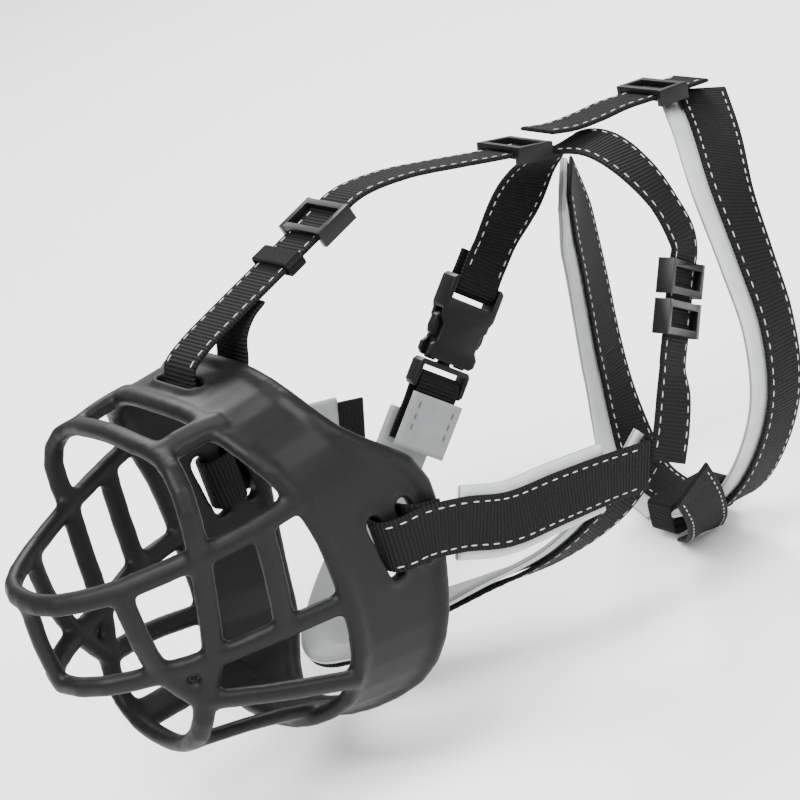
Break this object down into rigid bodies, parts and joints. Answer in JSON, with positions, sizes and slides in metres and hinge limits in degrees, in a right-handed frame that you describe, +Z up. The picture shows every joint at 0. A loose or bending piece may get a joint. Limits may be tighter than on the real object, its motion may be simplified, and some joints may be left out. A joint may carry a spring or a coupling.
{
  "type": "basket muzzle",
  "caption": "Moulded rubber basket muzzle for a dog, with an open cage over the snout and an adjustable webbing harness with a side-release buckle.",
  "frame": {"origin": "midpoint between the two side strap slots, in the middle of the snout opening", "axes": "+Z up, -Y towards the nose, +X towards the wearer's left"},
  "size_m": [0.1457, 0.349, 0.1987],
  "materials": {
    "basket_rubber": "satin",
    "webbing": "matte",
    "neoprene": "matte",
    "hardware_plastic": "satin"
  },
  "bodies": {
    "muzzle": {"basket": "basket_rubber", "buckle_socket": "hardware_plastic", "forehead_strap": "webbing", "crown_strap": "webbing", "side_strap": "webbing", "throat_strap": "webbing", "cheek_strap_left": "webbing", "cheek_strap_right": "webbing", "collar_left": "webbing", "collar_right": "webbing", "neck_link": "webbing", "collar_keeper": "webbing", "collar_throat_link": "webbing", "throat_strap_lining": "neoprene", "cheek_lining_left": "neoprene", "cheek_lining_right": "neoprene", "collar_lining_left": "neoprene", "collar_lining_right": "neoprene"},
    "buckle_plug": {"buckle_plug": "hardware_plastic", "plug_tab": "webbing", "plug_tab_lining": "neoprene"},
    "latch_arm_front": {"latch_arm_front": "hardware_plastic"},
    "latch_arm_rear": {"latch_arm_rear": "hardware_plastic"},
    "forehead_tri_glide": {"forehead_tri_glide": "hardware_plastic"},
    "forehead_keeper": {"forehead_keeper": "webbing"},
    "crown_tri_glide": {"crown_tri_glide": "hardware_plastic"},
    "side_tri_glide_upper": {"side_tri_glide_upper": "hardware_plastic"},
    "side_tri_glide_lower": {"side_tri_glide_lower": "hardware_plastic"},
    "neck_tri_glide": {"neck_tri_glide": "hardware_plastic"}
  },
  "joints": [
    {"name": "buckle_release", "type": "slide", "parent": "muzzle", "child": "buckle_plug", "axis": [-0.08, -0.6998, -0.7098], "range_m": [0, 0.02]},
    {"name": "latch_front_press", "type": "hinge", "parent": "buckle_plug", "child": "latch_arm_front", "pos_m": [-0.05199, 0.10547, 0.00211], "axis": [-0.9968, 0.0621, 0.0511], "range_deg": [0, 10], "stiffness_Nm_per_rad": 0.3},
    {"name": "latch_rear_press", "type": "hinge", "parent": "buckle_plug", "child": "latch_arm_rear", "pos_m": [-0.05186, 0.11629, -0.00857], "axis": [0.9968, -0.0621, -0.0511], "range_deg": [0, 10], "stiffness_Nm_per_rad": 0.3},
    {"name": "forehead_adjust", "type": "slide", "parent": "muzzle", "child": "forehead_tri_glide", "axis": [0, 0.9651, 0.262], "range_m": [-0.007, 0.003]},
    {"name": "forehead_keeper_slide", "type": "slide", "parent": "muzzle", "child": "forehead_keeper", "axis": [0, 0.9651, 0.262], "range_m": [-0.006, 0.002]},
    {"name": "crown_adjust", "type": "slide", "parent": "muzzle", "child": "crown_tri_glide", "axis": [0, 0.9614, -0.2751], "range_m": [-0.01, 0.003]},
    {"name": "side_adjust_upper", "type": "slide", "parent": "muzzle", "child": "side_tri_glide_upper", "axis": [0.1197, -0.5484, -0.8276], "range_m": [-0.001, 0.0015]},
    {"name": "side_adjust_lower", "type": "slide", "parent": "muzzle", "child": "side_tri_glide_lower", "axis": [0.1197, -0.5484, -0.8276], "range_m": [0, 0.008]},
    {"name": "neck_adjust", "type": "slide", "parent": "muzzle", "child": "neck_tri_glide", "axis": [0, 0.9854, -0.1701], "range_m": [-0.004, 0.008]}
  ]
}
